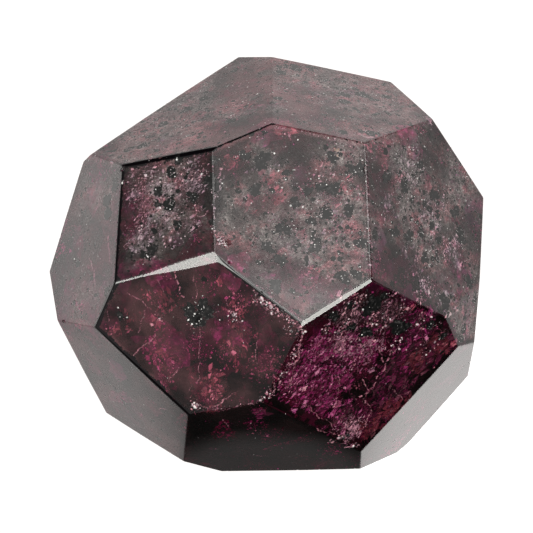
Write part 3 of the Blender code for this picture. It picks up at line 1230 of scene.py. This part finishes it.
def add_clouds(outline, crowding):
    """Soft patches of fine pale dust, which the stone turns pink and then deep red with depth."""
    rng = np.random.default_rng(SEEDS["clouds"])
    named, _, named_radii = named_places(outline, PINK_CLOUDS)
    loose, _ = seats(outline, crowding, LOOSE["clouds"], 1.8, rng, evenness=0.8)
    loose_radii = rng.uniform(0.3, 1.3, len(loose))
    centres, radii = np.vstack([named, loose]), np.append(named_radii, loose_radii)
    counts = (CLOUD_GRAINS * radii**2).astype(int)
    of_cloud = np.repeat(np.arange(len(centres)), counts)
    off = rng.normal(size=(len(of_cloud), 3)) * (radii[of_cloud] * 0.5)[:, None]
    points = centres[of_cloud] + off
    sizes = varied(*SIZES["dust"], len(points), rng)
    keep = inside(outline, points, sizes + 0.03)
    points, sizes = points[keep], sizes[keep]
    material = flake_material("dust", DUST_TONES)
    flake_piece("pink_dust", points, sizes, random_turns(len(points), rng), material, rng)


def add_crumbs(outline):
    """Lumps of crushed garnet, some of them cut flush by the faces."""
    rng = np.random.default_rng(SEEDS["crumbs"])
    centres, radii = [], []
    for x, y, spread, count in every(CRUMBS):
        middle, normal = through_pixel(outline, (x, y), 0.0)
        off = rng.normal(size=(count, 3)) * spread * 0.55
        off -= (off @ normal)[:, None] * normal
        depth = rng.exponential(0.07, count) + 0.01
        centres.append(middle + off - normal * depth[:, None])
        radii.append(varied(*SIZES["crumbs"], count, rng))
    centres, radii = np.vstack(centres), np.concatenate(radii)
    keep = inside(outline, centres, 0.01)
    points, faces = lumps(centres[keep], radii[keep], 1, 0.3, rng)
    over = np.maximum(outline.polished(points) - FLUSH, 0.0)
    points -= outline.slopes(points) * over[:, None]
    tones = np.repeat(rng.random(keep.sum()), len(faces) // keep.sum())
    piece("crumbs", points, faces, flake_material("crumb", CRUMB_TONES), tones)


def zone_plates(outline, pixel, kind, reach, count, size, streak, low, high, rng):
    """The plates round one photo pixel, in clumps, and their tones."""
    middle, normal = through_pixel(outline, pixel, 0.0)
    clumps = rng.normal(size=(max(count // PLATES_PER_CLUMP, 2), 3)) * reach * 0.55
    clump_tones = rng.random(len(clumps))
    mine = rng.integers(len(clumps), size=count)
    turns = np.radians(streak + rng.normal(0, 24, (len(clumps), 1)))
    ways = VIEW_RIGHT * np.cos(turns) + VIEW_UP * np.sin(turns)
    ways -= (ways @ normal)[:, None] * normal
    ways = np.repeat((ways / np.linalg.norm(ways, axis=1)[:, None])[mine], 4, axis=0)
    off = clumps[mine] + rng.normal(size=(count, 3)) * reach * 0.15
    off -= (off @ normal)[:, None] * normal
    centres = middle + off - normal * (rng.exponential(PLATE_DEPTH[kind], (count, 1)) + 0.02)
    sizes = varied(size, *PLATE_SIZES, count, rng)
    made, triangles = flakes(centres, sizes, random_turns(count, rng), rng)
    along = ((made - np.repeat(centres, 4, axis=0)) * ways).sum(axis=1)
    made = made + along[:, None] * ways * rng.uniform(0.2, 1.8, (len(made), 1))
    mixed = 0.5 * clump_tones[mine] + 0.5 * rng.random(count)
    return made, triangles, np.repeat(low + (high - low) * mixed, 2)


def add_broken_zones(outline):
    """Small plates of crushed and healed garnet, clump by clump."""
    rng = np.random.default_rng(SEEDS["broken_zones"])
    for kind, palette in PLATE_TONES.items():
        zones = [zone for zone in BROKEN_ZONES.values() if zone[0] == kind]
        places = [(zone[:-1], pixel) for zone in zones for pixel in zone[-1]]
        made = [zone_plates(outline, pixel, *zone, rng) for zone, pixel in places]
        points, faces = joined([plates[:2] for plates in made])
        tones = np.concatenate([plates[2] for plates in made])
        material = flake_material(kind + "_plates", palette)
        piece(kind + "_plates", sink(outline, points, JUST_UNDER), faces, material, tones)


def add_slab(outline):
    """The smooth grey slab that lies flat under the table face."""
    corners, _ = traced(outline, SLAB, SLAB_DEPTH)
    fan = np.arange(1, len(corners) - 1)
    faces = np.stack([np.zeros(len(fan), int), fan, fan + 1], axis=1)
    piece("grey_slab", corners, faces, flake_material("slab", SLAB_TONES), np.zeros(len(faces)))


def add_seams(outline):
    """Bands of tiny plates just under the edges: the pale ones crumbled garnet, the black ones painted
    shade.
    """
    rng = np.random.default_rng(SEEDS["seams"])
    centres, tones = [], []
    for low, high, width, density, pixels in SEAMS.values():
        line, _ = traced(outline, pixels, 0.02)
        lengths = np.linalg.norm(np.diff(line, axis=0), axis=1)
        count = int(density * lengths.sum())
        along = rng.random(count) * lengths.sum()
        ends = np.concatenate([[0.0], np.cumsum(lengths)])
        middle = np.stack([np.interp(along, ends, line[:, axis]) for axis in range(3)], axis=1)
        centres.append(middle + rng.normal(0, width, (count, 3)))
        tones.append(rng.uniform(low, high, count))
    centres, tones = sink(outline, np.vstack(centres), 0.03), np.concatenate(tones)
    sizes = varied(*SIZES["seams"], len(centres), rng)
    made, faces = flakes(centres, sizes, random_turns(len(centres), rng), rng)
    material = flake_material("seam", PLATE_TONES["grey"])
    piece("seams_and_edge_shade", sink(outline, made, JUST_UNDER), faces, material, np.repeat(tones, 2))


def crack_ribbon(line, normals, width, drop, rng):
    """A thin wavy band from a face down into the stone along a line of points."""
    line, normals = roughen(line, normals, 4, rng)
    steps = np.gradient(line, axis=0)
    side = np.cross(steps, normals)
    side /= np.linalg.norm(side, axis=1)[:, None]
    lean = side * width * rng.uniform(0.5, 1.4, (len(line), 1))
    lower = line - normals * drop * rng.uniform(0.5, 1.3, (len(line), 1)) + lean
    points = np.vstack([line, lower])
    count = len(line)
    first = np.arange(count - 1)
    upper_faces = np.stack([first, first + 1, first + 1 + count], axis=1)
    lower_faces = np.stack([first, first + 1 + count, first + count], axis=1)
    return points, np.vstack([upper_faces, lower_faces])


def roughen(line, normals, rounds, rng):
    """Halves the steps of a line a few times, moving each new point a little sideways."""
    for _ in range(rounds):
        gaps = np.linalg.norm(np.diff(line, axis=0), axis=1)[:, None]
        middle = (line[1:] + line[:-1]) / 2
        between = (normals[1:] + normals[:-1]) / 2
        between /= np.linalg.norm(between, axis=1)[:, None]
        middle = middle + tangents(between, rng) * gaps * 0.14
        line = np.insert(line, np.arange(1, len(line)), middle, axis=0)
        normals = np.insert(normals, np.arange(1, len(normals)), between, axis=0)
    return line, normals


def loose_hairline(start, normal, rng):
    """The line of an unnamed crack under a face, and the normals along it."""
    length = rng.uniform(0.6, 3.5)
    way = tangents(normal[None, :], rng)[0]
    bend = np.cross(normal, way) * rng.normal(0, 0.25)
    steps = np.linspace(0, 1, 4)[:, None]
    line = start - normal * 0.08 + way * length * steps + bend * length * steps**2
    return line, np.repeat(normal[None, :], 4, axis=0)


def add_hairlines(outline):
    """Fine cracks that reach the faces, the named ones wider and whiter than the rest."""
    rng = np.random.default_rng(SEEDS["hairlines"])
    lines = [traced(outline, pixels, 0.03) for pixels in HAIRLINES.values()]
    starts, normals = points_on_faces(outline, LOOSE["hairlines"], rng)
    lines += [loose_hairline(start, normal, rng) for start, normal in zip(starts, normals)]
    parts, tones = [], []
    for number, (line, line_normals) in enumerate(lines):
        named = number < len(HAIRLINES)
        width = NAMED_HAIRLINE if named else HAIRLINE
        made, triangles = crack_ribbon(line, line_normals, width, HAIRLINE_DROP, rng)
        kept = inside(outline, made, 0.0) & (rng.random(len(made)) > 0.07)
        triangles = triangles[kept[triangles].all(axis=1)]
        parts.append((made, triangles))
        tones.append(rng.uniform(0.5 if named else 0.0, 1.0, len(triangles)))
    material = flake_material("hairline", CRACK_TONES)
    piece("hairline_cracks", *joined(parts), material, np.concatenate(tones))


def add_healed_cracks(outline, crowding):
    """Old cracks that grew shut: ragged, gently curved sheets of fine flakes."""
    rng = np.random.default_rng(SEEDS["healed_cracks"])
    centres, _ = seats(outline, crowding, LOOSE["healed_cracks"], 2.2, rng, evenness=1.0)
    sheets = len(centres)
    turns = random_turns(sheets, rng)
    radii = rng.uniform(0.7, 3.0, sheets)
    counts = (55 * radii**1.6).astype(int)
    of_sheet = np.repeat(np.arange(sheets), counts)
    angle = rng.uniform(0, 2 * math.pi, len(of_sheet))
    out = np.sqrt(rng.random(len(of_sheet))) * (1 + 0.35 * np.sin(3 * angle + of_sheet))
    flat = np.stack([np.cos(angle) * out, np.sin(angle) * out * 0.6, np.zeros(len(angle))], axis=1)
    flat[:, 2] = 0.12 * np.sin(2.2 * flat[:, 0] + of_sheet) + 0.08 * np.cos(3.1 * flat[:, 1])
    off = np.einsum("cij,cj->ci", turns[of_sheet], flat) * radii[of_sheet][:, None]
    points = centres[of_sheet] + off
    sizes = varied(*SIZES["healed"], len(points), rng)
    keep = inside(outline, points, sizes + 0.05)
    material = flake_material("healed", DUST_TONES)
    flake_piece("healed_cracks", points[keep], sizes[keep], turns[of_sheet][keep], material, rng)


def add_fracture_planes(outline):
    """Broad, gently curved breaks inside the stone, which catch the light that gets in."""
    rng = np.random.default_rng(SEEDS["fractures"])
    centres, normals = points_on_faces(outline, LOOSE["fractures"], rng)
    depths = rng.uniform(1.0, 4.0, len(centres))
    radii = rng.uniform(0.5, 1.9, len(centres))
    centres = centres - normals * depths[:, None]
    front, facing = through_pixel(outline, UNBROKEN, 0.0)
    broken = (front - centres) @ facing >= UNBROKEN_DEPTH
    parts, tones = [], []
    for centre, normal, radius in zip(centres[broken], normals[broken], radii[broken]):
        made, triangles = fracture(centre, normal, radius, rng)
        lying_in = inside(outline, made, 0.12)
        triangles = triangles[lying_in[triangles].all(axis=1)]
        parts.append((made, triangles))
        tones.append(np.full(len(triangles), rng.random()))
    material = fracture_material()
    piece("fracture_planes", *joined(parts), material, np.concatenate(tones), smooth=True)


def fracture(centre, normal, radius, rng):
    """A round sheet of points and triangles, leaning and rippled, with a ragged rim."""
    rings, around = 7, 26
    lean = normal + rng.normal(0, 0.45, 3)
    lean /= np.linalg.norm(lean)
    across = tangents(lean[None, :], rng)[0]
    along = np.cross(lean, across)
    angle = np.linspace(0, 2 * math.pi, around, endpoint=False)
    rim = 1 + 0.22 * np.sin(2 * angle + rng.uniform(0, 6))
    rim = rim + 0.14 * np.sin(5 * angle + rng.uniform(0, 6))
    rim += rng.normal(0, 0.07, around)
    out = np.concatenate([[0.0], np.repeat(np.arange(1, rings + 1) / rings, around)])
    turn = np.concatenate([[0.0], np.tile(angle, rings)])
    reach = out * np.concatenate([[1.0], np.tile(rim, rings)])
    x, y = reach * np.cos(turn), reach * np.sin(turn) * rng.uniform(0.5, 1.0)
    bow = 0.12 * rng.normal() * (x**2 + y**2)
    wave = 0.05 * np.sin(x * rng.uniform(2, 7) + rng.uniform(0, 6)) * np.cos(y * rng.uniform(2, 7))
    points = centre + radius * (
        x[:, None] * across + y[:, None] * along + (bow + wave)[:, None] * lean
    )
    return points, disc_faces(rings, around)


# --- materials ----------------------------------------------------------------------------------
# Colours by tone, from 0 to 1.
SPARKLE_TONES = ((0.0, (0.3, 0.26, 0.27)), (0.5, (0.8, 0.78, 0.77)), (1.0, (1.0, 0.98, 0.96)))
DUST_TONES = ((0.0, (0.12, 0.03, 0.05)), (0.6, (0.45, 0.22, 0.27)), (1.0, (0.9, 0.62, 0.66)))
CRUMB_TONES = (
    (0.0, (0.004, 0.003, 0.004)),
    (0.42, (0.01, 0.008, 0.01)),
    (0.52, (0.3, 0.2, 0.23)),
    (0.75, (0.7, 0.55, 0.6)),
    (1.0, (1.0, 0.94, 0.95)),
)
PLATE_TONES = {
    "rose": (
        (0.0, (0.003, 0.001, 0.001)),
        (0.4, (0.04, 0.01, 0.015)),
        (0.6, (0.2, 0.045, 0.075)),
        (0.78, (0.6, 0.24, 0.32)),
        (1.0, (1.0, 0.86, 0.86)),
    ),
    "gold": (
        (0.0, (0.02, 0.012, 0.006)),
        (0.6, (0.5, 0.34, 0.14)),
        (1.0, (1.0, 0.9, 0.6)),
    ),
    "garnet": (
        (0.0, (0.002, 0.001, 0.002)),
        (0.34, (0.02, 0.004, 0.012)),
        (0.52, (0.15, 0.018, 0.09)),
        (0.7, (0.42, 0.06, 0.31)),
        (0.82, (0.84, 0.6, 0.86)),
        (1.0, (1.0, 0.95, 0.98)),
    ),
    "grey": (
        (0.0, (0.002, 0.002, 0.002)),
        (0.48, (0.012, 0.01, 0.011)),
        (0.6, (0.16, 0.14, 0.165)),
        (0.76, (0.55, 0.52, 0.6)),
        (0.9, (1.0, 0.98, 1.0)),
    ),
}
SLAB_TONES = ((0.0, (0.05, 0.062, 0.056)), (1.0, (0.05, 0.062, 0.056)))
CRACK_TONES = ((0.0, (0.05, 0.03, 0.035)), (0.6, (0.35, 0.26, 0.28)), (1.0, (1.0, 0.92, 0.92)))
# What 1 m of garnet takes off each colour is this density times (1 - colour).
ABSORPTION_DENSITY = 560.0
ABSORPTION_COLOUR = (0.84, 0.1, 0.79, 1.0)
DUST_SHARE = 0.185  # of the light at a dusty place, scattered by the dust
DUST_COLOURS = ((0.62, 0.54, 0.52, 1.0), (0.92, 0.38, 0.42, 1.0))  # pale and pink
MILK_SHARE = 0.014
MOST_MILK = 7.0  # keeps an edge between two milky faces from standing out
MILK_COLOUR = (0.84, 0.34, 0.38, 1.0)
# Grains at the surface: the size of the cells that hold one each, in mm, and the share of the
# cells that have one.
GRAIN_CELLS = ((1.4, 0.24), (0.6, 0.22), (0.28, 0.2))
SPECK_CELL = 0.12  # mm, the same for the bright specks
BLACK = (0.004, 0.006, 0.005, 1.0)
# The colour of the painted shade along the edges.
EDGE_SHADE_BLACK = (0.003, 0.002, 0.003, 1.0)


def flake_material(name, tones):
    material = bpy.data.materials.new(name)
    graph = Graph(material)
    tone = graph.node("ShaderNodeAttribute", attribute_name="tone").outputs["Fac"]
    graph.coat({"Base Color": graph.ramp(tone, *tones), "Roughness": 0.35})
    return material


def fracture_material():
    """Milky breaks, mottled from deep red to pink."""
    material = bpy.data.materials.new("fracture")
    graph = Graph(material)
    tone = graph.node("ShaderNodeAttribute", attribute_name="tone").outputs["Fac"]
    mottle = graph.noise(graph.place(), 1100.0, 6.0, 0.7)
    mottle = graph.math("ADD", graph.math("MULTIPLY", mottle, 2.0), -0.65)
    level = graph.math("ADD", mottle, graph.math("MULTIPLY", tone, 0.34), clamp=True)
    colour = graph.ramp(
        level,
        (0.2, (0.006, 0.002, 0.005)),
        (0.5, (0.05, 0.012, 0.024)),
        (0.75, (0.16, 0.05, 0.085)),
        (0.97, (0.6, 0.38, 0.46)),
    )
    graph.coat({"Base Color": colour, "Roughness": 0.4})
    return material


def grain_material():
    """Black and glossy, with the garnet's own shine where a face cuts it."""
    material = bpy.data.materials.new("black_grain")
    graph = Graph(material)
    colour = graph.ramp(
        graph.noise(graph.place(), 3500.0, 3.0, 0.6),
        (0.35, (0.002, 0.003, 0.003)),
        (0.56, (0.012, 0.012, 0.012)),
        (0.7, (0.07, 0.065, 0.065)),
    )
    graph.coat({"Base Color": colour, "Roughness": 0.03, "IOR": GARNET_IOR})
    return material


def height_of(normal, distance):
    """How far along its normal a face lies, in metres in the row frame."""
    return (distance + normal @ HEART) * MM


def crowding_nodes(graph, place, crowding):
    """How thickly dust lies at the surface, and how milky the garnet is there."""
    noise = graph.noise(place, 190.0, 2.0)
    thickness = graph.smooth_step(noise, 0.32, 0.68, 0.25, 1.45)
    for centre, reach, factor in crowding.spots:
        off = graph.vector("DISTANCE", place, tuple(metres(centre)))
        share = graph.smooth_step(off, 0.35 * reach * MM, 2.1 * reach * MM, factor, 1.0)
        thickness = graph.math("MULTIPLY", thickness, share)
    milk = 1.0
    for normal, distance, dust_left, milkiness in crowding.clear_faces:
        along = graph.vector("DOT_PRODUCT", place, tuple(normal))
        top = height_of(normal, distance)
        clear, ends = top - CLEAR_DEPTH[0] * MM, top - CLEAR_DEPTH[1] * MM
        share = graph.smooth_step(along, ends, clear, 1.0, dust_left)
        thickness = graph.math("MULTIPLY", thickness, share)
        milk = graph.math("MULTIPLY", graph.smooth_step(along, ends, clear, 1.0, milkiness), milk)
    return graph.math("MINIMUM", thickness, THICKEST), graph.math("MINIMUM", milk, MOST_MILK)


def edge_shade_nodes(graph, place, crowding):
    """How dark the painted shade along the edges makes a place, from 0 to 1."""
    ragged = graph.smooth_step(graph.noise(place, 1100.0, 6.0, 0.8), 0.3, 0.7, 0.35, 1.6)
    darkness = 0.0
    for faces, width in crowding.rims:
        deeps = []
        for normal, distance in faces:
            along = graph.vector("DOT_PRODUCT", place, tuple(normal))
            deeps.append(graph.math("SUBTRACT", height_of(normal, distance), along))
        off = graph.math("DIVIDE", graph.math("MAXIMUM", *deeps), ragged)
        dark = graph.smooth_step(off, 0.75 * width * MM, 1.1 * width * MM, 1.0, 0.0)
        darkness = graph.math("MAXIMUM", dark, darkness)
    return darkness


def grain_nodes(graph, place, crowd, cell, share, seed):
    """Ragged black grains, one in some of the cells: how far out of one we are, in cells."""
    bend = graph.noise(place, 2.6 / cell, 3.0, output="Color")
    bent = graph.vector("SUBTRACT", bend, (0.5, 0.5, 0.5))
    bent = graph.vector("MULTIPLY_ADD", bent, (0.55 * cell,) * 3, place)
    moved = graph.vector("ADD", bent, (seed * 0.013,) * 3)
    off, pick, size = graph.cells(moved, cell)
    chosen = graph.math("LESS_THAN", pick, graph.math("MULTIPLY", crowd, share))
    out = graph.math("SUBTRACT", off, graph.smooth_step(size, 0.0, 1.0, 0.16, 0.46))
    return graph.math("ADD", out, graph.math("SUBTRACT", 1.0, chosen))


def cloudy_nodes(graph, place, crowd, milkiness):
    """The colour of the pale dust and the faint milkiness together, and how dense they are."""
    clumps = graph.noise(place, 1000.0, 6.0, 0.75)
    fine = graph.noise(place, 5200.0, 2.0, 0.6)
    dust = graph.smooth_step(clumps, 0.36, 0.66, 0.25, 1.35)
    dust = graph.math("MULTIPLY", dust, graph.smooth_step(fine, 0.3, 0.7, 0.35, 1.65))
    even = graph.math("MINIMUM", graph.smooth_step(crowd, 0.0, THICKEST, 0.0, 1.75), 1.2)
    dust = graph.math("MULTIPLY", dust, graph.math("MULTIPLY", even, DUST_SHARE))
    pink = graph.smooth_step(graph.noise(place, 420.0, 6.0, 0.68), 0.46, 0.62)
    milk = graph.smooth_step(graph.noise(place, 260.0, 4.0, 0.6), 0.35, 0.7, 0.1, 2.2)
    milk = graph.math("MULTIPLY", milk, graph.math("MULTIPLY", milkiness, MILK_SHARE))
    cloudy = graph.math("ADD", dust, milk)
    dusty = graph.math("DIVIDE", dust, cloudy)
    return graph.mix_colour(dusty, MILK_COLOUR, graph.mix_colour(pink, *DUST_COLOURS)), cloudy


def garnet_material(crowding):
    """Clear garnet, clouded at its surface by pale dust, with black grains, bright specks and painted
    shade along some edges.
    """
    material = bpy.data.materials.new("garnet")
    graph = Graph(material)
    place = graph.place()
    crowd, milkiness = crowding_nodes(graph, place, crowding)
    colour, cloudy = cloudy_nodes(graph, place, crowd, milkiness)

    # Black grains that reach the surface, with bright specks thick around them.
    large, small, tiny = (
        grain_nodes(graph, place, crowd, cell * MM, share, seed)
        for seed, (cell, share) in enumerate(GRAIN_CELLS, 1)
    )
    out = graph.math("MINIMUM", large, small)
    grain = graph.smooth_step(graph.math("MINIMUM", out, tiny), -0.12, 0.06, 1.0, 0.0)
    halo = graph.smooth_step(out, 0.0, 0.3, 0.12, 0.03)
    off, pick, tone = graph.cells(place, SPECK_CELL * MM)
    chosen = graph.math("LESS_THAN", pick, graph.math("MULTIPLY", halo, crowd))
    speck = graph.math("MULTIPLY", chosen, graph.math("LESS_THAN", off, 0.42))
    speck_colour = graph.ramp(
        tone, (0.0, (0.25, 0.18, 0.2)), (0.6, (0.6, 0.5, 0.52)), (1.0, (1, 0.97, 0.95))
    )
    colour = graph.mix_colour(graph.smooth_step(grain, 0.0, 0.25), colour, BLACK)
    colour = graph.mix_colour(speck, colour, speck_colour)
    solid = graph.math("MAXIMUM", grain, graph.math("MULTIPLY", speck, 0.45))
    solid = graph.math("MAXIMUM", solid, cloudy)
    # Painted shade: near-black bands along some edges, opaque there.
    rim = edge_shade_nodes(graph, place, crowding)
    colour = graph.mix_colour(graph.smooth_step(rim, 0.0, 0.12), colour, EDGE_SHADE_BLACK)
    solid = graph.math("MAXIMUM", solid, graph.smooth_step(rim, 0.1, 0.5))
    clear = graph.math("SUBTRACT", 1.0, solid, clamp=True)

    shine = {"Roughness": 0.03, "IOR": GARNET_IOR}
    glass = graph.node(
        "ShaderNodeBsdfPrincipled", {"Base Color": colour, "Transmission Weight": clear, **shine}
    )
    through = graph.node("ShaderNodeBsdfTransparent", {"Color": (1.0, 0.86, 0.92, 1.0)})
    absorb = graph.node(
        "ShaderNodeVolumeAbsorption", {"Color": ABSORPTION_COLOUR, "Density": ABSORPTION_DENSITY}
    )
    surface = graph.by_ray("Is Shadow Ray", glass, through)
    graph.node("ShaderNodeOutputMaterial", {"Surface": surface, "Volume": absorb.outputs[0]})
    return material


# --- the whole stone ----------------------------------------------------------------------------
def chip_edges(outline):
    """Small bites out of the edges, as polishing and handling leave them."""
    rng = np.random.default_rng(SEEDS["chips"])
    usual, spread, least, most = SMALL_CHIPS
    for x, y, radius in CHIPS.values():
        outline.chips.append((through_pixel(outline, (x, y), -0.45 * radius)[0], radius))
    for corners, _ in outline.polygons:
        for start, end in zip(corners, np.roll(corners, -1, axis=0)):
            if tuple(start) > tuple(end):
                continue
            length = np.linalg.norm(end - start)
            for _ in range(rng.poisson(length * CHIPS_PER_MM)):
                at = start + (end - start) * rng.random()
                radius = float(np.clip(usual * math.exp(rng.normal(0, spread)), least, most))
                outwards = at / np.linalg.norm(at)
                outline.chips.append((at + outwards * radius * 0.55, radius))


def add_stone(outline, crowding):
    mesh = stone_mesh(outline)
    mesh.materials.append(garnet_material(crowding))
    stone = add_object("garnet_stone", mesh)
    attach(stone, "root")
    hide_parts(NODE)


def set_up_shading():
    scene = bpy.context.scene
    scene.view_settings.view_transform = "Standard"
    scene.cycles.max_bounces = 14
    scene.cycles.transmission_bounces = 12
    scene.cycles.glossy_bounces = 8
    scene.cycles.diffuse_bounces = 3
    scene.cycles.transparent_max_bounces = 8
    scene.cycles.caustics_reflective = False


add_camera()
add_world()
add_table()
for box_name, box in SOFT_BOXES.items():
    add_soft_box(box_name, *box)
stone_outline = Outline(*ground_faces(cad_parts[NODE]))
for flat in EDGE_FLATS.values():
    stone_outline.add_edge_flat(*flat)
for worn in WORN_EDGES.values():
    stone_outline.add_worn_edge(*worn)
chip_edges(stone_outline)
stone_crowding = Crowding(stone_outline)
add_stone(stone_outline, stone_crowding)
all_grains = add_black_grains(stone_outline, stone_crowding)
add_sparkles(stone_outline, stone_crowding, all_grains)
add_clouds(stone_outline, stone_crowding)
add_crumbs(stone_outline)
add_broken_zones(stone_outline)
add_slab(stone_outline)
add_seams(stone_outline)
add_hairlines(stone_outline)
add_fracture_planes(stone_outline)
add_healed_cracks(stone_outline, stone_crowding)
set_up_shading()
